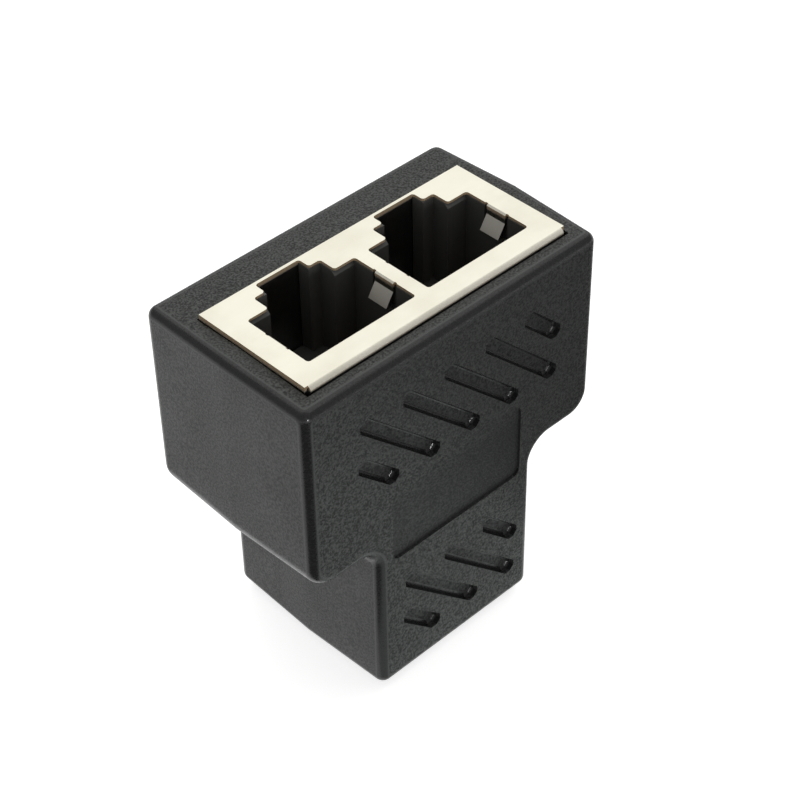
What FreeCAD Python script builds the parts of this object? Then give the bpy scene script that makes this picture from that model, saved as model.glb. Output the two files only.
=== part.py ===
"""Ethernet splitter adapter: two network ports on top, one below, in a T-shaped two-half housing.

Millimetres, +Z up. The origin is at the middle of the footprint, on the face of the lower port.
The housing is parted on the plane Y = 0; the front, with its panel, faces -Y.
"""
import FreeCAD
import Part
import math
import os
import re
import Sketcher

# Driving sizes: name, value and what it measures.
SIZES = (
    # Port openings, as cut in the shields
    ("port_width", 12.0, "opening across the contacts"),
    ("port_depth", 7.43, "opening from the contact side to the first latch step"),
    ("keyway_width", 7.4, "first latch step, across"),
    ("keyway_depth", 1.83, "first latch step, deep"),
    ("latch_width", 4.9, "second latch step, across"),
    ("latch_depth", 1.27, "second latch step, deep"),
    ("port_web", 1.47, "between the upper ports"),
    ("port_round", 0.3, "corners of the openings"),
    ("port_front", 5.66, "contact edge of the ports in front of the parting plane"),
    # Shields folded from plated sheet
    ("sheet_thickness", 0.25, "shield sheet"),
    ("rim_front", 2.4, "shield face in front of the ports"),
    ("rim_back", 0.3, "shield face behind the ports"),
    ("rim_side", 2.27, "twin shield face beside the outer ports"),
    ("lower_rim_side", 1.9, "lower shield face beside its port"),
    ("bend_radius", 0.5, "outer round of the face's front edge"),
    ("corner_slit", 0.35, "relief cut in the folded front corners"),
    ("tongue_width", 2.2, "spring tongue in a port's side wall"),
    ("tongue_slit", 0.3, "slit each side of a tongue"),
    ("tongue_root", 0.08, "tongue root set back from the port edge"),
    ("tongue_knee", 0.9, "upright part of a tongue"),
    ("tongue_reach", 0.85, "tongue tip inside the port edge"),
    ("tongue_drop", 2.4, "tongue tip below the face"),
    # Jack housings and contact inserts
    ("nest_gap", 0.1, "jack housing in its shield, insert in its bay"),
    ("floor_thickness", 1.5, "floor of a port well"),
    ("lead_in", 0.4, "sloped edge of the housing at a port's shoulders"),
    ("latch_run", 9.0, "depth of the latch steps below the face"),
    ("mouth_lip", 1.6, "housing lip over the contact bends"),
    ("bay_depth", 1.4, "insert bay behind the contact edge"),
    ("bay_margin", 0.25, "bay narrower than the port, each side"),
    ("slot_width", 0.62, "slot for one contact"),
    ("slot_depth", 1.05, "slot for one contact"),
    ("contact_pitch", 1.016, "contact spacing"),
    ("contact_width", 0.42, "contact strip, across"),
    ("contact_thickness", 0.3, "contact strip, thick"),
    ("leg_inset", 0.7, "contact leg behind the contact edge"),
    ("leg_top", 3.3, "start of the contact bend below the face"),
    ("bend_reach", 0.6, "radius of the contact bend"),
    ("spring_reach", 2.3, "free contact end inside the contact edge"),
    ("spring_end", 11.5, "free contact end below the face"),
    # Stack of jacks and board
    ("lower_height", 19.65, "lower jack from its face to the board"),
    ("board_thickness", 1.6, "circuit board"),
    ("twin_height", 17.65, "twin jack from the board to its face"),
    # Housing halves and what they hold
    ("shield_proud", 0.4, "shield faces proud of the housing"),
    ("fit_gap", 0.15, "shields and board in the housing"),
    ("side_wall", 2.2, "block wall beside the twin shield"),
    ("neck_wall", 1.8, "neck wall beside the lower shield"),
    ("front_wall", 1.72, "wall in front of the shields"),
    ("rear_space", 2.61, "room behind the shields"),
    ("rear_wall", 2.0, "wall behind that room"),
    ("end_wall", 2.0, "top and bottom walls behind the shields"),
    ("shoulder_wall", 1.6, "shoulder under the board"),
    ("support_rib", 1.6, "inner ribs that back the shields"),
    ("draft_angle", 1.4, "mould draft of each half from the parting plane, degrees"),
    ("shoulder_round", 2.5, "block to shoulder"),
    ("neck_round", 2.25, "shoulder to neck"),
    ("edge_round", 1.0, "face edges, top and bottom corners"),
    # Grip grooves and panel, sunk in the faces
    ("groove_angle", 44.0, "slope of the grip grooves, degrees"),
    ("groove_width", 1.55, "grip groove, across"),
    ("groove_depth", 0.8, "grip groove below the face"),
    ("groove_round", 0.4, "floor edges of the grip grooves"),
    ("groove_corner", 0.45, "corners cut off the ends of the grip grooves"),
    ("groove_offset", 0.5, "rows of grooves off the middle, toward their lower ends"),
    ("groove_short", 5.75, "first and last groove of a row, end to end"),
    ("block_groove_pitch", 4.83, "block grooves, spacing along X"),
    ("block_groove_length", 12.0, "long block grooves"),
    ("block_groove_top", 5.1, "upper ends of the block grooves below the twin face"),
    ("neck_groove_pitch", 4.87, "neck grooves, spacing along X"),
    ("neck_groove_length", 12.1, "long neck grooves"),
    ("neck_groove_top", 26.35, "upper ends of the neck grooves below the twin face"),
    ("panel_margin", 1.95, "blank panel in from the sides of the neck"),
    ("panel_height", 8.3, "blank panel, tall"),
    ("panel_top", 14.7, "upper edge of the panel below the twin face"),
    ("panel_depth", 0.25, "panel below the face"),
    ("panel_round", 0.8, "panel corners"),
)
CONTACTS = 8
BLOCK_COUNT = 4
NECK_COUNT = 2
BEND_ANGLES = (0, 60, 120, 180)

# Lengths that follow from the driving sizes: name, formula and what it measures.
LENGTHS = (
    ("port_pitch", "port_width + port_web", "upper ports, centre to centre"),
    ("port_back", "port_depth - port_front", "first latch step of the ports behind the parting plane"),
    ("port_middle", "port_depth / 2 - port_front", "middle of the plug opening"),
    ("shield_front", "port_front + rim_front", "shield walls in front of the parting plane"),
    ("shield_back", "port_back + keyway_depth + latch_depth + rim_back", "and behind it"),
    ("twin_half", "port_pitch / 2 + port_width / 2 + rim_side", "half the twin shield's width"),
    ("lower_half", "port_width / 2 + lower_rim_side", "half the lower shield's width"),
    ("twin_face", "lower_height + board_thickness + twin_height", "level of the twin shield's face"),
    ("shell_top", "twin_face - shield_proud", "level of the housing's top"),
    ("shoulder_level", "lower_height - shoulder_wall", "level of the shoulders"),
    ("passage_half", "twin_half + fit_gap", "half the room for the twin jack"),
    ("neck_passage_half", "lower_half + fit_gap", "half the room for the lower jack"),
    ("block_half", "passage_half + side_wall", "half the block's width"),
    ("neck_half", "neck_passage_half + neck_wall", "half the neck's width"),
    ("front_passage", "shield_front + fit_gap", "room for the jacks in the front half"),
    ("rear_passage", "shield_back + fit_gap", "room for the jacks in the rear half"),
    ("front_depth", "front_passage + front_wall", "front half, from the parting plane to its face"),
    ("rear_room", "rear_passage + rear_space", "room behind the jacks"),
    ("rear_depth", "rear_room + rear_wall", "rear half, from the parting plane to its face"),
    ("panel_half", "neck_half - panel_margin", "half the panel's width"),
    ("overcut", "end_wall", "cuts run past the surface by this much"),
)

doc = FreeCAD.newDocument("splitter_adapter")
sizes = doc.addObject("Spreadsheet::Sheet", "sizes")
ROWS = [(name, str(value), meaning) for name, value, meaning in SIZES]
ROWS += [(name, "=" + formula, meaning) for name, formula, meaning in LENGTHS]
for row, (name, content, meaning) in enumerate(ROWS, 1):
    sizes.set(f"A{row}", name)
    sizes.set(f"B{row}", content)
    sizes.setAlias(f"B{row}", name)
    sizes.set(f"C{row}", meaning)
doc.recompute()
VALUE = {name: float(sizes.get(name)) for name, content, meaning in ROWS}


def cells(text):
    """An expression that reads the named sizes from the sheet."""
    return re.sub(r"[a-z_]+", lambda word: "sizes." + word[0] if word[0] in VALUE else word[0], text)


def origin_plane(body, role):
    """One of the body's own base planes."""
    return next(plane for plane in body.Origin.OriginFeatures if plane.Role == role)


def new_body(name):
    """A sub-part, labelled with its node name."""
    body = doc.addObject("PartDesign::Body", name)
    body.Label = name
    return body


def new_sketch(body, name, role, level="0"):
    """A sketch on a base plane of the body, moved along the plane's normal to a level."""
    sketch = body.newObject("Sketcher::SketchObject", f"{body.Name}_{name}")
    sketch.AttachmentSupport = [(origin_plane(body, role), "")]
    sketch.MapMode = "FlatFace"
    sketch.setExpression(".AttachmentOffset.Base.z", cells(level))
    return sketch


def constrain(sketch, rules):
    """Adds constraints together; each rule is a constraint and the expression that drives it, or None."""
    places = sketch.addConstraint([constraint for constraint, text in rules])
    for place, (constraint, text) in zip(places, rules):
        if text:
            sketch.setExpression(f"Constraints[{place}]", cells(text))


def pins(curve, end, across, up):
    """Rules that hold one end of a sketch curve at a place given by two expressions."""
    return [(Sketcher.Constraint("DistanceX", -1, 1, curve, end, 1.0), across),
            (Sketcher.Constraint("DistanceY", -1, 1, curve, end, 1.0), up)]


def joined(first, first_end, second, second_end):
    """A rule that joins the ends of two sketch curves."""
    return (Sketcher.Constraint("Coincident", first, first_end, second, second_end), None)


def draw_polygon(sketch, corners):
    """A closed outline through corners given as pairs of expressions."""
    first = sketch.GeometryCount
    count = len(corners)
    spread = [FreeCAD.Vector(math.cos(turn), math.sin(turn), 0) * VALUE["port_width"]
              for turn in (-math.tau * index / count for index in range(count))]
    after = spread[1:] + spread[:1]
    sketch.addGeometry([Part.LineSegment(begin, end) for begin, end in zip(spread, after)])
    rules = [joined(first + index, 2, first + (index + 1) % count, 1) for index in range(count)]
    for index, (across, up) in enumerate(corners):
        rules += pins(first + index, 1, across, up)
    constrain(sketch, rules)


def box_corners(left, right, low, high):
    """Corners of an upright rectangle."""
    return [(left, high), (right, high), (right, low), (left, low)]


def extrude(body, kind, name, sketch, length, reverse=False):
    """A pad or pocket of a sketch, with its length bound to the sheet."""
    before = body.Shape.Volume if kind == "Pocket" else None
    feature = body.newObject(f"PartDesign::{kind}", f"{body.Name}_{name}")
    feature.Profile = sketch
    feature.setExpression("Length", cells(length))
    feature.Reversed = reverse
    doc.recompute()
    if before and not feature.Shape.Volume < before:
        raise RuntimeError(f"{feature.Name} cuts nothing")
    return feature


def round_edges(body, name, base, chosen, radius):
    """A fillet on some edges of the last feature."""
    names = [f"Edge{index}" for index, edge in enumerate(base.Shape.Edges, 1)
             if any(edge.isSame(other) for other in chosen)]
    fillet = body.newObject("PartDesign::Fillet", f"{body.Name}_{name}")
    fillet.Base = (base, names)
    fillet.setExpression("Radius", cells(radius))
    doc.recompute()
    return fillet


# The two halves of the housing

def mirrored(right):
    """An outline that is the same to the left and right, from the corners of its right half."""
    return right + [(f"-({across})", up) for across, up in reversed(right)]


def drafted_block(body, name, side, depth, half, low, high):
    """A block on the parting plane that narrows by the mould draft toward its face."""
    block = body.newObject("PartDesign::AdditiveWedge", f"{body.Name}_{name}")
    slip = f"{depth} * tan(draft_angle * 1deg)"
    parting = {"Xmin": f"-{half}", "Xmax": half, "Zmin": low, "Zmax": high}
    face = {"Xmin": f"{slip} - {half}", "Xmax": f"{half} - {slip}",
            "Zmin": f"{low} + {slip}", "Zmax": f"{high} - {slip}"}
    first, second = (face, parting) if side < 0 else (parting, face)
    reach = {"Ymin": f"-{depth}", "Ymax": "0"} if side < 0 else {"Ymin": "0", "Ymax": depth}
    for target, text in {**reach, **first}.items():
        block.setExpression(target, cells(text))
    for target, text in second.items():
        block.setExpression(target[0] + "2" + target[1:], cells(text))
    doc.recompute()
    return block


def jack_passage():
    """The room for the jacks and the board, open at the top and the bottom."""
    high, low = "shell_top + overcut", "shield_proud - overcut"
    return mirrored([("passage_half", high), ("passage_half", "lower_height"),
                     ("neck_passage_half", "lower_height"), ("neck_passage_half", low)])


def rear_outline():
    """The room behind the jacks, with a rib left standing behind each port."""
    high, low = "shell_top - end_wall", "shield_proud + end_wall"
    board_top = "lower_height + board_thickness + fit_gap"
    inner, outer = "port_pitch / 2 - support_rib / 2", "port_pitch / 2 + support_rib / 2"
    return mirrored([(inner, high), (inner, board_top), (outer, board_top), (outer, high),
                     ("passage_half", high), ("passage_half", "lower_height"),
                     ("neck_passage_half", "lower_height"), ("neck_passage_half", low),
                     ("support_rib / 2", low), ("support_rib / 2", "lower_height")])


def groove_corners(side, start, top, runs):
    """One sloping bar with cut corners, between two runs along its slope from the row's upper line."""
    cosine, sine = "cos(groove_angle * 1deg)", "sin(groove_angle * 1deg)"
    half, near = "groove_width / 2", "(groove_width / 2 - groove_corner)"
    begin, end = runs
    after, before = f"{begin} + groove_corner", f"{end} - groove_corner"
    places = [(after, half), (before, half), (end, near), (end, f"-{near}"),
              (before, f"-{half}"), (after, f"-{half}"), (begin, f"-{near}"), (begin, near)]
    corners = []
    for run, aside in places:
        across = f"{start} + ({run}) * {cosine} + {aside} * {sine}"
        up = f"{top} - ({run}) * {sine} + {aside} * {cosine}"
        corners.append((f"{-side} * ({across})", up))
    return corners


def groove_row(sketch, side, count, row):
    """A row of grip grooves: long ones, with a short one to close each end."""
    length = f"{row}_groove_length"
    top = f"twin_face - {row}_groove_top"
    for place in range(-1, count + 1):
        step = place - (count - 1) / 2
        half_run = f"{length} * cos(groove_angle * 1deg) / 2"
        start = f"groove_offset + {step} * {row}_groove_pitch - {half_run}"
        begin = f"{length} - groove_short" if place == -1 else "0"
        end = "groove_short" if place == count else length
        draw_polygon(sketch, groove_corners(side, start, top, (begin, end)))


def outline_edges(shape, depth, half, level):
    """The two edges that run along the depth at one width and one level of the outline."""
    slip = VALUE[depth] * math.tan(math.radians(VALUE["draft_angle"]))
    found = []
    for edge in shape.Edges:
        place = edge.CenterOfMass
        along = abs(abs(place.y) - VALUE[depth] / 2) < slip
        if along and abs(abs(place.x) - VALUE[half]) < slip and abs(place.z - VALUE[level]) < slip:
            found.append(edge)
    return found


def make_shell(name, side, passage, depth):
    """One half of the housing; side is -1 for the front and 1 for the rear."""
    body = new_body(name)
    drafted_block(body, "block", side, depth, "block_half", "shoulder_level", "shell_top")
    solid = drafted_block(body, "neck", side, depth, "neck_half", "shield_proud", "lower_height")
    for half, radius in (("block_half", "shoulder_round"), ("neck_half", "neck_round")):
        bends = outline_edges(solid.Shape, depth, half, "shoulder_level")
        solid = round_edges(body, radius, solid, bends, radius)
    face = max(solid.Shape.Faces, key=lambda candidate: side * candidate.CenterOfMass.y)
    corners = outline_edges(solid.Shape, depth, "block_half", "shell_top")
    corners += outline_edges(solid.Shape, depth, "neck_half", "shield_proud")
    round_edges(body, "edge_round", solid, face.Edges + corners, "edge_round")

    grooves = new_sketch(body, "grooves", "XZ_Plane", f"{-side} * {depth}")
    groove_row(grooves, side, BLOCK_COUNT, "block")
    groove_row(grooves, side, NECK_COUNT, "neck")
    solid = extrude(body, "Pocket", "groove_cuts", grooves, "groove_depth", reverse=side > 0)
    floor = side * (VALUE[depth] - VALUE["groove_depth"])
    near = VALUE["groove_depth"] / 8
    floors = [edge for edge in solid.Shape.Edges if abs(edge.CenterOfMass.y - floor) < near]
    round_edges(body, "groove_round", solid, floors, "groove_round")
    if side < 0:
        sink_panel(body)
    room = new_sketch(body, "passage", "XZ_Plane")
    draw_polygon(room, jack_passage())
    extrude(body, "Pocket", "passage_cut", room, passage, reverse=side < 0)
    if side > 0:
        room = new_sketch(body, "room", "XZ_Plane")
        draw_polygon(room, rear_outline())
        extrude(body, "Pocket", "room_cut", room, "rear_room")
    return body


def sink_panel(body):
    """The blank sunk panel across the foot of the block and the head of the neck."""
    top = "twin_face - panel_top"
    panel = new_sketch(body, "panel", "XZ_Plane", "front_depth")
    draw_polygon(panel, box_corners("-panel_half", "panel_half", f"{top} - panel_height", top))
    solid = extrude(body, "Pocket", "panel_cut", panel, "panel_depth")
    highest = VALUE["twin_face"] - VALUE["panel_top"]
    middle = VALUE["panel_depth"] / 2 - VALUE["front_depth"]
    corners = []
    for edge in solid.Shape.Edges:
        place = edge.CenterOfMass
        level = min(abs(place.z - highest), abs(place.z - highest + VALUE["panel_height"]))
        beside = abs(abs(place.x) - VALUE["panel_half"])
        if max(level, beside, abs(place.y - middle)) < VALUE["panel_depth"] / 4:
            corners.append(edge)
    return round_edges(body, "panel_round", solid, corners, "panel_round")


# Jacks: built with the face at Z = 0 and the jack below it, then placed

def place_jack_piece(body, lower, across="0"):
    """Stands a jack piece on its side of the board; the lower jack is turned face down."""
    if lower:
        body.Placement = FreeCAD.Placement(FreeCAD.Vector(), FreeCAD.Rotation(FreeCAD.Vector(0, 1, 0), 180))
    else:
        body.setExpression(".Placement.Base.z", cells("twin_face"))
    body.setExpression(".Placement.Base.x", cells(across))


def port_corners(centre, inset="0", past="0"):
    """A port's plan: the plug opening with two narrowing latch steps behind it."""
    widths = ("port_width", "keyway_width", "latch_width")
    half, key, latch = (f"{width} / 2 - {inset}" for width in widths)
    back = f"port_back - {inset}"
    key_back = f"{back} + keyway_depth"
    latch_back = f"{key_back} + latch_depth + {past}"
    corners = mirrored([(latch, latch_back), (latch, key_back), (key, key_back),
                        (key, back), (half, back), (half, f"{inset} - port_front")])
    return [(f"{centre} + {across}", up) for across, up in corners]


def plan_corners(half, skin):
    """The plan of a jack, set in from the outside of its shield."""
    return box_corners(f"{skin} - {half}", f"{half} - {skin}",
                       f"{skin} - shield_front", f"shield_back - {skin}")


def slot_corners(centre, reach, margin="0"):
    """The strip across a port that holds both of its tongues, with their slits."""
    return box_corners(f"{centre} - ({reach})", f"{centre} + {reach}",
                       f"port_middle - tongue_width / 2 - tongue_slit - {margin}",
                       f"port_middle + tongue_width / 2 + tongue_slit + {margin}")


def make_shield(name, ports, half, height, lower):
    """A folded sheet: a face with port cut-outs, four walls, and spring tongues in the ports."""
    body = new_body(name)
    plan = new_sketch(body, "plan", "XY_Plane")
    draw_polygon(plan, plan_corners(half, "0"))
    solid = extrude(body, "Pad", "block", plan, height, reverse=True)
    near = VALUE["sheet_thickness"] / 2
    bend = [edge for edge in solid.Shape.Edges if edge.BoundBox.ZMin > -near
            and edge.BoundBox.YMax < near - VALUE["shield_front"]]
    round_edges(body, "bend", solid, bend, "bend_radius")
    inside = new_sketch(body, "inside", "XY_Plane", "-sheet_thickness")
    draw_polygon(inside, plan_corners(half, "sheet_thickness"))
    extrude(body, "Pocket", "hollow", inside, height)
    slits = new_sketch(body, "slits", "XY_Plane")
    for across in (1, -1):
        corner = f"{across} * {half}"
        draw_polygon(slits, box_corners(f"{corner} - corner_slit", f"{corner} + corner_slit",
                                        "-shield_front - corner_slit", "corner_slit - shield_front"))
    extrude(body, "Pocket", "corner_cuts", slits, height)
    for number, centre in enumerate(ports, 1):
        for kind, corners in (("port", port_corners(centre)),
                              ("window", slot_corners(centre, "port_width / 2 + tongue_root"))):
            cut = new_sketch(body, f"{kind}_{number}", "XY_Plane")
            draw_polygon(cut, corners)
            solid = extrude(body, "Pocket", f"{kind}_{number}_cut", cut, "2 * sheet_thickness")
            if kind == "port":
                corners = sheet_edges(solid.Shape, cut)
                round_edges(body, f"port_round_{number}", solid, corners, "port_round")
        add_tongue(body, f"left_tongue_{number}", centre, -1)
        add_tongue(body, f"right_tongue_{number}", centre, 1)
    place_jack_piece(body, lower)
    return body


def sheet_edges(shape, cut):
    """The upright edges that a cut leaves in a shield's face, one at each corner of its outline."""
    near = VALUE["sheet_thickness"] / 8
    level = FreeCAD.Vector(0, 0, VALUE["sheet_thickness"] / 2)
    corners = [vertex.Point - level for vertex in cut.Shape.Vertexes]
    return [edge for edge in shape.Edges
            if any(edge.CenterOfMass.distanceToPoint(corner) < near for corner in corners)]


def add_tongue(body, name, centre, side):
    """A spring tongue: the sheet folded down from the face, upright at first, then into the port."""
    edge, middle = "port_width / 2", "-sheet_thickness / 2"
    steps = [(f"{edge} + tongue_root + sheet_thickness", middle), (f"{edge} + tongue_root", middle),
             (edge, f"{middle} - tongue_root"), (edge, f"{middle} - tongue_knee"),
             (f"{edge} - tongue_reach", "-tongue_drop")]
    path = new_sketch(body, f"{name}_path", "XZ_Plane", "-port_middle")
    last = len(steps) - 1
    guesses = [FreeCAD.Vector(side * (last - index), -index, 0) for index in range(len(steps))]
    path.addGeometry([Part.LineSegment(guesses[index], guesses[index + 1]) for index in range(last)])
    rules = [joined(index, 2, index + 1, 1) for index in range(last - 1)]
    for index, (across, up) in enumerate(steps):
        curve, end = (index, 1) if index < last else (last - 1, 2)
        rules += pins(curve, end, f"{centre} + {side} * ({across})", up)
    constrain(path, rules)
    section = new_sketch(body, f"{name}_section", "YZ_Plane", f"{centre} + {side} * ({steps[0][0]})")
    draw_polygon(section, box_corners("port_middle - tongue_width / 2", "port_middle + tongue_width / 2",
                                      "-sheet_thickness", "0"))
    return sweep(body, name, section, path, "Right corner")


def sweep(body, name, section, path, corners):
    """A strip of the section's shape along a path."""
    doc.recompute()
    strip = body.newObject("PartDesign::AdditivePipe", f"{body.Name}_{name}")
    strip.Profile = section
    strip.Spine = path
    strip.Transition = corners
    doc.recompute()
    return strip


def make_housing(name, ports, half, height, lower):
    """The moulded jack body: a well for each plug, and a bay for each contact insert."""
    body = new_body(name)
    plan = new_sketch(body, "plan", "XY_Plane", "-sheet_thickness")
    draw_polygon(plan, plan_corners(half, "(sheet_thickness + nest_gap)"))
    extrude(body, "Pad", "block", plan, f"{height} - sheet_thickness", reverse=True)
    for number, centre in enumerate(ports, 1):
        well, bay = "(port_width / 2 - nest_gap)", "(port_width / 2 - bay_margin)"
        shoulder, top = "port_back - nest_gap", "-sheet_thickness"
        cuts = (("well", "0", f"{height} - sheet_thickness - floor_thickness",
                 box_corners(f"{centre} - {well}", f"{centre} + {well}", "-port_front", shoulder)),
                ("steps", "0", "latch_run", port_corners(centre, "nest_gap", "sheet_thickness")),
                ("bay", "mouth_lip", height,
                 box_corners(f"{centre} - {bay}", f"{centre} + {bay}", "-port_front - bay_depth",
                             "bay_margin - port_front")),
                ("recess", "0", "tongue_drop",
                 slot_corners(centre, "port_width / 2 + tongue_root + nest_gap")))
        for kind, below, depth, corners in cuts:
            cut = new_sketch(body, f"{kind}_{number}", "XY_Plane", f"-sheet_thickness - {below}")
            draw_polygon(cut, corners)
            extrude(body, "Pocket", f"{kind}_{number}_cut", cut, depth)
        slope = new_sketch(body, f"lead_in_{number}", "YZ_Plane", f"{centre} - {well}")
        draw_polygon(slope, [(shoulder, top), (f"{shoulder} + lead_in", top),
                             (shoulder, f"{top} - lead_in")])
        extrude(body, "Pocket", f"lead_in_{number}_cut", slope, f"2 * {well}", reverse=True)
    place_jack_piece(body, lower)
    return body


def contact_place(number):
    """The place of a contact along its row."""
    return f"{number - (CONTACTS - 1) / 2} * contact_pitch"


def make_insert(name, centre, height, lower):
    """The slotted bar that holds one port's contacts in a row."""
    body = new_body(name)
    half = "(port_width / 2 - bay_margin - nest_gap)"
    top = "sheet_thickness + mouth_lip + nest_gap"
    plan = new_sketch(body, "plan", "XY_Plane", f"-({top})")
    draw_polygon(plan, box_corners(f"-{half}", half, "nest_gap - port_front - bay_depth", "-port_front"))
    extrude(body, "Pad", "bar", plan, f"{height} - ({top})", reverse=True)
    grooves = new_sketch(body, "grooves", "XY_Plane")
    for number in range(CONTACTS):
        middle = contact_place(number)
        draw_polygon(grooves, box_corners(f"{middle} - slot_width / 2", f"{middle} + slot_width / 2",
                                          "-port_front - slot_depth", "slot_depth - port_front"))
    extrude(body, "Pocket", "groove_cuts", grooves, f"{height} + sheet_thickness")
    place_jack_piece(body, lower, centre)
    return body


def make_contact(name, across, height, lower):
    """A contact strip: up from the board in its slot, over a bend, and down into the port."""
    body = new_body(name)
    profile = new_sketch(body, "profile", "YZ_Plane", "-contact_width / 2")
    leg, tip = "(-port_front - leg_inset)", "spring_reach - port_front"
    sides = []
    for sign in (1, -1):
        radius = f"(bend_reach + {sign} * contact_thickness / 2)"
        bend = [(f"{leg} + bend_reach - {radius} * cos({angle} * 1deg)",
                 f"-leg_top + {radius} * sin({angle} * 1deg)") for angle in BEND_ANGLES]
        foot = (f"{leg} + bend_reach - {radius}", f"-{height}")
        free_end = (f"{tip} + {(sign - 1) // 2} * contact_thickness", "-spring_end")
        sides.append([foot] + bend + [free_end])
    outer, inner = sides
    draw_polygon(profile, outer + inner[::-1])
    extrude(body, "Pad", "strip", profile, "contact_width")
    place_jack_piece(body, lower, across)
    return body


def make_board():
    """The circuit board that joins the three jacks."""
    board = doc.addObject("Part::Box", "circuit_board")
    board.Label = "circuit_board"
    for target, text in (("Length", "2 * twin_half"), ("Width", "shield_front + rear_room - fit_gap"),
                         ("Height", "board_thickness"), (".Placement.Base.x", "-twin_half"),
                         (".Placement.Base.y", "-shield_front"), (".Placement.Base.z", "lower_height")):
        board.setExpression(target, cells(text))
    return board


def make_jack(prefix, ports, half, height, lower):
    """Shield, housing, inserts and contacts of one jack; ports maps a name to its centre."""
    centres = list(ports.values())
    pieces = [make_shield(f"{prefix}_shield", centres, half, height, lower),
              make_housing(f"{prefix}_housing", centres, half, height, lower)]
    for port, centre in ports.items():
        pieces.append(make_insert(f"{port}_contact_insert", centre, height, lower))
        for number in range(CONTACTS):
            across = f"{centre} + {contact_place(number)}"
            pieces.append(make_contact(f"{port}_contact_{number + 1}", across, height, lower))
    return pieces


pieces = [make_shell("front_shell", -1, "front_passage", "front_depth"),
          make_shell("rear_shell", 1, "rear_passage", "rear_depth"),
          make_board()]
TWIN_PORTS = {"left": "-port_pitch / 2", "right": "port_pitch / 2"}
pieces += make_jack("twin", TWIN_PORTS, "twin_half", "twin_height", False)
pieces += make_jack("lower", {"lower": "0"}, "lower_half", "lower_height", True)
doc.recompute()

# Nothing is written unless every object came out well.
for item in doc.Objects:
    if "Invalid" in item.State or "Error" in item.State:
        raise RuntimeError(f"{item.Name} failed: {item.State}")
for piece in pieces:
    if piece.Shape.isNull() or not piece.Shape.isValid() or len(piece.Shape.Solids) != 1:
        raise RuntimeError(f"{piece.Label} is not one sound solid")

os.makedirs("parts", exist_ok=True)
for piece in pieces:
    piece.Shape.exportStep(os.path.join("parts", f"{piece.Label}.step"))
    box = piece.Shape.BoundBox
    print(f"{piece.Label}: {piece.Shape.Volume:.2f} mm3, x {box.XMin:.2f} to {box.XMax:.2f}, "
          f"y {box.YMin:.2f} to {box.YMax:.2f}, z {box.ZMin:.2f} to {box.ZMax:.2f}")
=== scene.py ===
# %% [markdown]
# # An ethernet splitter adapter
# A small T-shaped box joins one network socket below to two side by side on top.
# The solids come from the CAD frame and stay as they are. This lesson sets the camera, gives each
# piece the finish that it has on the real object, and lights it like a catalogue picture.
# Everything is in metres, in the CAD model's own frame.

import math

import bpy
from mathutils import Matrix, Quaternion, Vector


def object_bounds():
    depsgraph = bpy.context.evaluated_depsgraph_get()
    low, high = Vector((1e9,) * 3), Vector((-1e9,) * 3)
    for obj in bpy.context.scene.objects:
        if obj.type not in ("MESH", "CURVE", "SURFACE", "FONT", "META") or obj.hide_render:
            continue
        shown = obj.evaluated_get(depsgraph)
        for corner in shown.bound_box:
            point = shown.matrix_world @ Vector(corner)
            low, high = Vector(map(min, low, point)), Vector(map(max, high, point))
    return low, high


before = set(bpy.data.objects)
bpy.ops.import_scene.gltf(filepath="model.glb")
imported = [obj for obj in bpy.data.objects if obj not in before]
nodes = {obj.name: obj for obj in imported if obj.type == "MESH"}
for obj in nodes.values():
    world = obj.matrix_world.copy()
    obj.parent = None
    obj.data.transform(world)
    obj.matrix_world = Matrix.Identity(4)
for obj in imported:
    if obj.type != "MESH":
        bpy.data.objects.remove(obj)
cad_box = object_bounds()
MM = 0.001
print("nodes:", len(nodes), "box in mm:", [[round(c / MM, 2) for c in corner] for corner in cad_box])

# %% [markdown]
# ## Camera
# The picture looks down on the front from the left with a long lens, so upright edges nearly
# stay parallel. A camera can be placed by eye, but here its place, aim, roll and lens were worked
# out from the corners of the port openings, which have known sizes. The Standard view shows each
# colour as it is written.

# %% Camera
CAMERA_PLACE = Vector((-93.6, -101.63, 144.59)) * MM
CAMERA_AIM = Vector((2.70, 0.12, 21.77)) * MM
CAMERA_ROLL = math.radians(-1.03)

camera_data = bpy.data.cameras.new("camera")
camera = bpy.data.objects.new("camera", camera_data)
bpy.context.scene.collection.objects.link(camera)
bpy.context.scene.camera = camera
camera_data.lens = 92.84
camera_data.sensor_width = 36.0
camera_data.clip_start = 0.01
camera.location = CAMERA_PLACE
camera.rotation_mode = "QUATERNION"
straight = (CAMERA_AIM - CAMERA_PLACE).to_track_quat("-Z", "Y")
camera.rotation_quaternion = straight @ Quaternion((0, 0, 1), CAMERA_ROLL)
bpy.context.scene.view_settings.view_transform = "Standard"
print("camera", round((CAMERA_AIM - CAMERA_PLACE).length / MM), "mm from its aim")

# %% [markdown]
# ## Node helpers
# Each finish is a small network of nodes around one shader. Clicking it together by hand is quick
# once, but a script can be read and changed later. These helpers keep the networks short: one
# starts a material, one sets or wires an input, one adds a node, one does a sum, and one moves a
# value smoothly between two limits.

# %% Node helpers
def new_material(name):
    """An empty node material with its shader."""
    material = bpy.data.materials.new(name)
    material.use_nodes = True
    return material, material.node_tree.nodes["Principled BSDF"]


def feed(material, value, target):
    """Gives an input a plain value, or wires an output to it."""
    if isinstance(value, bpy.types.NodeSocket):
        material.node_tree.links.new(value, target)
    else:
        target.default_value = value


def add(material, kind, inputs=None, **settings):
    """A node of a kind, with settings and with values or wires for its inputs."""
    node = material.node_tree.nodes.new(kind)
    for name, value in settings.items():
        setattr(node, name, value)
    for name, value in (inputs or {}).items():
        feed(material, value, node.inputs[name])
    return node


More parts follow.
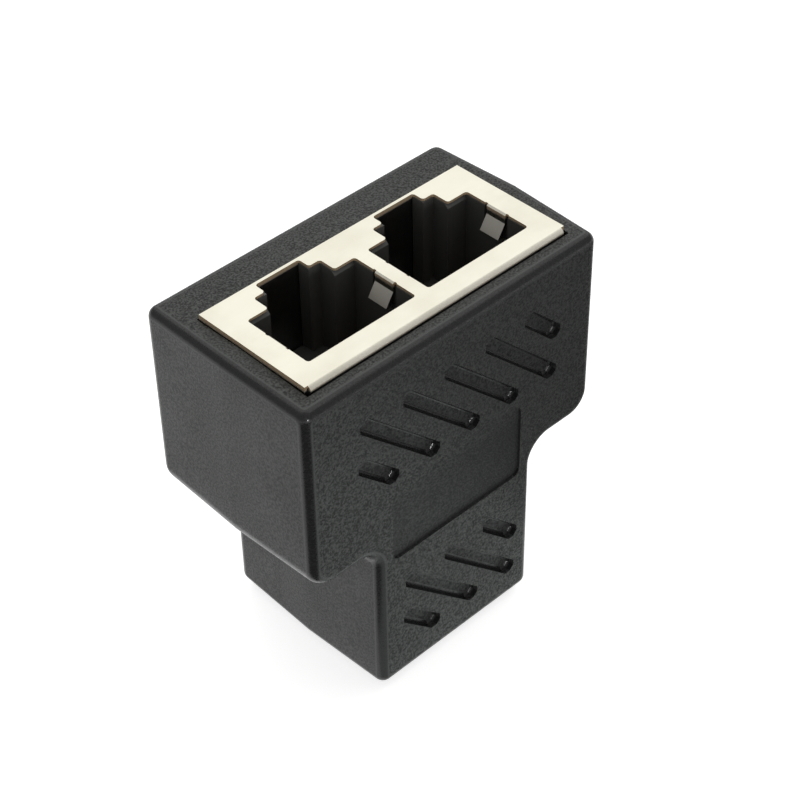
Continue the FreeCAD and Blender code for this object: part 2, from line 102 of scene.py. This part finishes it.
def sum_of(material, operation, *values):
    """One step of arithmetic on values or outputs."""
    node = add(material, "ShaderNodeMath", operation=operation)
    for target, value in zip(node.inputs, values):
        feed(material, value, target)
    return node.outputs[0]


def spread(material, value, start, end, low=0.0, high=1.0):
    """Moves a value smoothly from low to high while it runs from start to end."""
    limits = {"Value": value, "From Min": start, "From Max": end, "To Min": low, "To Max": high}
    node = add(material, "ShaderNodeMapRange", limits, interpolation_type="SMOOTHSTEP")
    return node.outputs["Result"]


print("node helpers: new_material, feed, add, sum_of, spread")

# %% [markdown]
# ## Housing walls
# The two halves are moulded in black plastic. The mould's flat walls were spark-eroded, which
# leaves a fine even grain on the part. Its rounded edges and the walls of its grip grooves were
# polished, so they look smoother. The fine bright line where they meet the grain is a painted
# highlight: a lighter colour along that band. Painted maps could tell these places apart. Here
# the surface's own direction does: on a flat wall it lies nearly along one axis, and on a round
# between two.

# %% Housing walls
FULL_GRAIN = 0.998
NO_GRAIN = 0.985


def place_on(material):
    """The place on the object, in its own frame."""
    return add(material, "ShaderNodeTexCoord").outputs["Object"]


def axes_of(material, vector):
    """The X, Y and Z of a vector."""
    return add(material, "ShaderNodeSeparateXYZ", {"Vector": vector}).outputs


housing, shader = new_material("housing_plastic")
place = place_on(housing)
facing = axes_of(housing, add(housing, "ShaderNodeNewGeometry").outputs["Normal"])
across, deep, up = (sum_of(housing, "ABSOLUTE", facing[axis]) for axis in "XYZ")
straightest = sum_of(housing, "MAXIMUM", sum_of(housing, "MAXIMUM", across, deep), up)
grained = spread(housing, straightest, NO_GRAIN, FULL_GRAIN)
# The band where a round meets the grain; it gets the painted highlight.
highlight_band = sum_of(housing, "MULTIPLY", spread(housing, straightest, 0.95, NO_GRAIN),
                 spread(housing, straightest, 0.9985, 0.993))
print("no grain past", round(math.degrees(math.acos(NO_GRAIN)), 1), "degrees from an axis")

# %% [markdown]
# ## Blank panel
# The sunk panel in front is painted darker than the wall round it, with fewer specks: painted
# shade. A second material on its faces could show that. Here four limits mark out its place, which
# also lets the painted shade fade toward the upper edge, as the shade does on the real part.

# %% Blank panel
PANEL_PLANE = -9.2
PANEL_HALF = 7.9
PANEL_FOOT = 15.9
PANEL_HEAD = 24.2
PANEL_FADE = 2.5
# How far the panel's colour is painted darker, as painted shade.
PANEL_SHADE = 0.85
SHARP = 0.05

spot = axes_of(housing, place)
beside = sum_of(housing, "ABSOLUTE", spot["X"])
limits = [(spot["Y"], PANEL_PLANE + 4 * SHARP, PANEL_PLANE),
          (beside, PANEL_HALF + SHARP, PANEL_HALF - SHARP),
          (spot["Z"], PANEL_FOOT - SHARP, PANEL_FOOT + SHARP),
          (spot["Z"], PANEL_HEAD, PANEL_HEAD - PANEL_FADE)]
# The panel's painted shade, fading toward its upper edge.
panel_shade = PANEL_SHADE
for value, outside, inside in limits:
    panel_shade = sum_of(housing, "MULTIPLY", panel_shade, spread(housing, value, outside * MM, inside * MM))
print("panel of", 2 * PANEL_HALF, "by", round(PANEL_HEAD - PANEL_FOOT, 2), "mm")

# %% [markdown]
# ## Finish helpers
# A finish needs some noise, a blend of colours and small bumps, and in the end it goes on its
# pieces. Noise that runs through the solid needs no unwrapping and has no seams, which an image
# laid over the surface would have.

# %% Finish helpers
def noise(material, place, scale, detail=2.0, roughness=0.5):
    """A noise through the solid; a larger scale makes it finer."""
    values = {"Vector": place, "Scale": scale, "Detail": detail, "Roughness": roughness}
    return add(material, "ShaderNodeTexNoise", values).outputs["Fac"]


def vary(material, pattern, low, high):
    """A value from low to high that follows a noise, which keeps mostly between 0.3 and 0.7."""
    return spread(material, pattern, 0.3, 0.7, low, high)


def blend(material, amount, first, second):
    """A colour between two others."""
    node = add(material, "ShaderNodeMix", data_type="RGBA")
    for number, value in ((0, amount), (6, first), (7, second)):
        feed(material, value, node.inputs[number])
    return node.outputs[2]


def bumps(material, shader, height, strength, depth):
    """Small bumps on the shader's surface."""
    node = add(material, "ShaderNodeBump", {"Height": height, "Strength": strength, "Distance": depth})
    feed(material, node.outputs["Normal"], shader.inputs["Normal"])


def dress(material, fits):
    """Puts a material on every piece whose name fits."""
    names = [name for name in nodes if fits(name)]
    for name in names:
        nodes[name].data.materials.clear()
        nodes[name].data.materials.append(material)
    print(material.name, "on", len(names), "pieces")


print("finish helpers: noise, vary, blend, bumps, dress")

# %% [markdown]
# ## Housing plastic
# One noise makes the grain: it drives small bumps, lighter and darker specks, and a change of
# shine. Bumps alone would do close up, but from a step away they blur to one grey. The grain is
# weaker on the side walls, which look smoother on the real part. A slow second noise keeps the
# shine from being the same all over.

# %% Housing plastic
GRAIN = 5200.0
GRAIN_DEPTH = 0.25 * MM
PATCHES = 160.0
DARK_SPECK = (0.006, 0.0065, 0.0062, 1)
LIGHT_SPECK = (0.058, 0.062, 0.058, 1)
POLISHED = (0.014, 0.0147, 0.0143, 1)
# Lighter colour for the painted highlight where a round meets the grain.
HIGHLIGHT_LINE_COLOUR = (0.06, 0.063, 0.061, 1)
FRONT_SPARKLE = 0.33
SIDE_SPARKLE = 0.12
POLISH = 0.2

grain = noise(housing, place, GRAIN, 3.0, 0.6)
speckle = spread(housing, grain, 0.34, 0.66)
specks = blend(housing, speckle, DARK_SPECK, LIGHT_SPECK)
# Rounds take the polished colour, lifted to the painted highlight along that band.
polished_with_highlight = blend(housing, highlight_band, POLISHED, HIGHLIGHT_LINE_COLOUR)
# The panel's painted shade takes specks away and darkens its colour.
specks_less_panel_shade = sum_of(housing, "SUBTRACT", grained, panel_shade)
feed(housing, blend(housing, specks_less_panel_shade, polished_with_highlight, specks), shader.inputs["Base Color"])
sparkle = spread(housing, across, 0.5, 0.9, FRONT_SPARKLE, SIDE_SPARKLE)
shine = sum_of(housing, "MULTIPLY", sum_of(housing, "SUBTRACT", speckle, 0.5), sparkle)
uneven = vary(housing, noise(housing, place, PATCHES, 3.0), 0.47, 0.53)
smooth = sum_of(housing, "MULTIPLY", POLISH, sum_of(housing, "SUBTRACT", 1.0, grained))
rough = sum_of(housing, "SUBTRACT", sum_of(housing, "SUBTRACT", uneven, shine), smooth)
feed(housing, rough, shader.inputs["Roughness"])
bumps(housing, shader, grain, sum_of(housing, "MULTIPLY", grained, sparkle), GRAIN_DEPTH)
dress(housing, lambda name: name.endswith("_shell"))

# %% [markdown]
# ## Shield places
# The jacks sit in shields folded from thin copper alloy sheet with a nickel plating. The sheet is
# plated before it is punched, so the cut edges at a face show the coppery metal inside. Edges and
# bends there are matt. Deep inside the ports the metal is painted dark grey as painted shade, most
# of all on walls that face front or back. Separate materials on chosen faces could do this. Here
# height and direction pick the place, so one material serves them all.

# %% Shield places
FACE_DEPTH = 0.3 * MM
half_height = (cad_box[1][2] - cad_box[0][2]) / 2

plate, shader = new_material("shield_plate")
place = place_on(plate)
facing = axes_of(plate, add(plate, "ShaderNodeNewGeometry").outputs["True Normal"])
level, deep = (sum_of(plate, "ABSOLUTE", facing[axis]) for axis in "ZY")
height = axes_of(plate, place)["Z"]
from_middle = sum_of(plate, "ABSOLUTE", sum_of(plate, "SUBTRACT", height, half_height))
at_face = spread(plate, from_middle, half_height - 2 * FACE_DEPTH, half_height - FACE_DEPTH)
bare = sum_of(plate, "MULTIPLY", spread(plate, level, 0.35, 0.05), at_face)
matt = sum_of(plate, "MULTIPLY", spread(plate, level, 0.98, 0.9), at_face)
within = sum_of(plate, "SUBTRACT", 1.0, at_face)
# Painted shade deep inside the ports, strongest on walls facing front or back.
port_shade = sum_of(plate, "MULTIPLY", spread(plate, deep, 0.4, 0.6, 0.45, 1.0), within)
print("shield faces", round(2 * half_height / MM, 2), "mm apart")

# %% [markdown]
# ## Shield metal
# Nickel has a warm, pale shine, which a metallic shader gives. The faint lines that rolling leaves
# in the sheet could be cut in as fine grooves, but a noise stretched along it is lighter.

# %% Shield metal
LINES = 4000.0
LINE_DEPTH = 0.01 * MM
CLOUDS = 220.0
DEEP_NICKEL = (0.81, 0.765, 0.66, 1)
PALE_NICKEL = (0.88, 0.84, 0.735, 1)
# Dark grey of the painted shade deep inside the ports.
SHADE_GREY = (0.24, 0.24, 0.245, 1)
COPPER = (0.52, 0.39, 0.25, 1)

stretch = add(plate, "ShaderNodeMapping", {"Vector": place, "Scale": (0.15, 1.0, 1.0)})
lines = noise(plate, stretch.outputs["Vector"], LINES, 3.0)
clouds = vary(plate, noise(plate, place, CLOUDS, 3.0), 0.0, 1.0)
nickel = blend(plate, clouds, DEEP_NICKEL, PALE_NICKEL)
# The nickel turns to painted shade deep inside the ports.
nickel_with_shade = blend(plate, port_shade, nickel, SHADE_GREY)
feed(plate, blend(plate, bare, nickel_with_shade, COPPER), shader.inputs["Base Color"])
metallic = sum_of(plate, "SUBTRACT", 1.0, sum_of(plate, "MULTIPLY", matt, 0.6))
feed(plate, metallic, shader.inputs["Metallic"])
rolled = vary(plate, lines, 0.28, 0.34)
rough = sum_of(plate, "ADD", rolled, sum_of(plate, "MULTIPLY", matt, 0.3))
feed(plate, rough, shader.inputs["Roughness"])
bumps(plate, shader, lines, 0.05, LINE_DEPTH)
dress(plate, lambda name: name.endswith("_shield"))

# %% [markdown]
# ## Jack plastic
# The jack bodies and the slotted contact inserts are black engineering plastic with a little
# glass fibre, a touch glossier than the housing. Single fibres could be drawn as fine threads, but
# they are too small to see. A fine noise stands for them at the surface.

# %% Jack plastic
FIBRES = 3000.0
FIBRE_DEPTH = 0.02 * MM

jack, shader = new_material("jack_plastic")
fibre = noise(jack, place_on(jack), FIBRES, 3.0, 0.6)
dark = blend(jack, fibre, (0.060, 0.060, 0.058, 1), (0.085, 0.085, 0.082, 1))
feed(jack, dark, shader.inputs["Base Color"])
feed(jack, vary(jack, fibre, 0.38, 0.5), shader.inputs["Roughness"])
bumps(jack, shader, fibre, 0.15, FIBRE_DEPTH)
dress(jack, lambda name: name.endswith(("_housing", "_insert")))

# %% [markdown]
# ## Contact metal
# The spring contacts are bronze strip. Gold is plated only where the plug touches, near the free
# end and the bend; the legs toward the board are tinned. Two materials with a cut between them
# could show this. One blend by height keeps each strip whole.

# %% Contact metal
BOARD_MIDDLE = 20.45 * MM
TIN_REACH = 6.0 * MM
TIN_EDGE = 0.2 * MM
SCRATCHES = 2500.0
TIN = (0.62, 0.60, 0.56, 1)
GOLD = (0.83, 0.60, 0.24, 1)

contact, shader = new_material("contact_gold")
place = place_on(contact)
height = axes_of(contact, place)["Z"]
from_board = sum_of(contact, "ABSOLUTE", sum_of(contact, "SUBTRACT", height, BOARD_MIDDLE))
gilded = spread(contact, from_board, TIN_REACH - TIN_EDGE, TIN_REACH + TIN_EDGE)
feed(contact, blend(contact, gilded, TIN, GOLD), shader.inputs["Base Color"])
shader.inputs["Metallic"].default_value = 1.0
scratches = noise(contact, place, SCRATCHES, 3.0)
feed(contact, vary(contact, scratches, 0.2, 0.34), shader.inputs["Roughness"])
dress(contact, lambda name: "_contact_" in name and not name.endswith("_insert"))

# %% [markdown]
# ## Circuit board
# The board inside is glass cloth in resin under a green mask. The weave shows faintly through the
# mask. A picture of cloth could be used, but two crossed sets of waves need no file.

# %% Circuit board
WEAVE = 700.0

board, shader = new_material("board_mask")
threads = {"Vector": place_on(board), "Scale": WEAVE, "Distortion": 0.5}
weave = [add(board, "ShaderNodeTexWave", threads, bands_direction=axis).outputs["Fac"] for axis in "XY"]
cloth = sum_of(board, "MULTIPLY", *weave)
mask = blend(board, cloth, (0.010, 0.075, 0.030, 1), (0.016, 0.110, 0.045, 1))
feed(board, mask, shader.inputs["Base Color"])
feed(board, spread(board, cloth, 0.0, 1.0, 0.3, 0.42), shader.inputs["Roughness"])
dress(board, lambda name: name == "circuit_board")

# %% [markdown]
# ## Floor
# A catalogue picture has a plain white ground. The floor is a matt sheet that takes the object's
# shadow. The lens sees it lifted to white, and so do the rays that the object mirrors. To all other
# light it is grey, so that it doesn't fill the dark places. A brighter lamp could whiten it too,
# but would bleach the plate.

# %% Floor
FLECKS = 900.0
GREY = (0.12, 0.12, 0.12, 1)

bpy.ops.mesh.primitive_plane_add(size=2.0, location=(0, 0, 0))
floor = bpy.context.object
floor.name = "floor"
paper, shader = new_material("floor_paper")
rays = add(paper, "ShaderNodeLightPath").outputs
seen = rays["Is Camera Ray"]
mirrored = sum_of(paper, "MAXIMUM", rays["Is Glossy Ray"], rays["Is Transmission Ray"])
fleck = noise(paper, place_on(paper), FLECKS)
white = blend(paper, fleck, (0.90, 0.90, 0.90, 1), (0.92, 0.92, 0.92, 1))
feed(paper, blend(paper, seen, GREY, white), shader.inputs["Base Color"])
shader.inputs["Roughness"].default_value = 0.95
shader.inputs["Specular IOR Level"].default_value = 0.1
shader.inputs["Emission Color"].default_value = (1, 1, 1, 1)
lift = sum_of(paper, "MAXIMUM", sum_of(paper, "MULTIPLY", seen, 0.7), mirrored)
feed(paper, lift, shader.inputs["Emission Strength"])
floor.data.materials.append(paper)
print("floor", round(floor.dimensions.x, 2), "m wide")

# %% [markdown]
# ## Room
# The room round the floor is evenly dim. A black room would be simpler, but it would leave the
# round edges without shape, and a bright one would wash out the grain.

# %% Room
room = bpy.data.worlds.new("studio")
bpy.context.scene.world = room
room.use_nodes = True
back = room.node_tree.nodes["Background"]
back.inputs["Color"].default_value = (1, 1, 1, 1)
back.inputs["Strength"].default_value = 0.36
print("room at", round(back.inputs["Strength"].default_value, 2), "of white")

# %% [markdown]
# ## Dark sheet
# In product pictures a dark sheet is laid beside a black thing where an edge should stand out. This
# one, of grey felt, lies in front of the object, out of the lens's sight. The upright edge nearest to
# the lens mirrors it and shows as a dark band between two lighter walls. Painting the edge dark would
# be simpler, but it would look wrong from the other sides.

# %% Dark sheet
SHEET_BACK = -10.2 * MM
SHEET_REACH = 120 * MM
SHEET_HEIGHT = 0.15 * MM

outline = [(-SHEET_REACH, -SHEET_REACH), (SHEET_REACH, -SHEET_REACH),
           (SHEET_REACH, SHEET_BACK), (-SHEET_REACH, SHEET_BACK)]
sheet_mesh = bpy.data.meshes.new("dark_sheet")
sheet_mesh.from_pydata([(x, y, SHEET_HEIGHT) for x, y in outline], [], [(0, 1, 2, 3)])
sheet = bpy.data.objects.new("dark_sheet", sheet_mesh)
bpy.context.scene.collection.objects.link(sheet)
sheet.visible_camera = False
sheet.visible_diffuse = False
sheet.visible_shadow = False
felt, shader = new_material("dark_felt")
shader.inputs["Base Color"].default_value = (0.2, 0.2, 0.2, 1)
shader.inputs["Roughness"].default_value = 1.0
shader.inputs["Specular IOR Level"].default_value = 0.0
sheet_mesh.materials.append(felt)
print("dark sheet", [round(side / MM) for side in sheet.dimensions[:2]], "mm")

# %% [markdown]
# ## Lamps
# A large soft lamp hangs above, behind and to the right, where the face plate mirrors it and turns
# pale. A dim lamp lies on the dark sheet and throws light up at the front wall, less of it toward
# the right. A small lamp far in front puts the glints in the ends of the grooves. Lamps all round
# would be simpler, but would flatten the edges. Each lamp's power follows from its size and the
# brightness wanted.

# %% Lamps
MIDDLE = (0, 0, 25)
OVER_LOW = (1, -45.1, 100)


def area_lamp(name, place_mm, size_mm, brightness, colour=(1, 1, 1), aim_mm=MIDDLE):
    """A rectangular lamp of a given brightness that faces a point."""
    data = bpy.data.lights.new(name, "AREA")
    data.shape = "RECTANGLE"
    data.size = size_mm[0] * MM
    data.size_y = size_mm[1] * MM
    data.energy = brightness * math.pi * data.size * data.size_y
    data.color = colour
    lamp = bpy.data.objects.new(name, data)
    lamp.location = Vector(place_mm) * MM
    lamp.rotation_mode = "QUATERNION"
    lamp.rotation_quaternion = (Vector(aim_mm) * MM - lamp.location).to_track_quat("-Z", "Y")
    lamp.visible_camera = False
    bpy.context.scene.collection.objects.link(lamp)
    print(name, "lamp of", round(data.energy, 3), "W")


area_lamp("above", (150, 140, 360), (760, 620), 0.77, (0.98, 1.0, 0.96))
area_lamp("low", (1, -45.1, 0.3), (34, 69.8), 0.54, (0.94, 1.0, 0.97), OVER_LOW)
area_lamp("glint", (-116, -379, 70), (30, 30), 90.0)
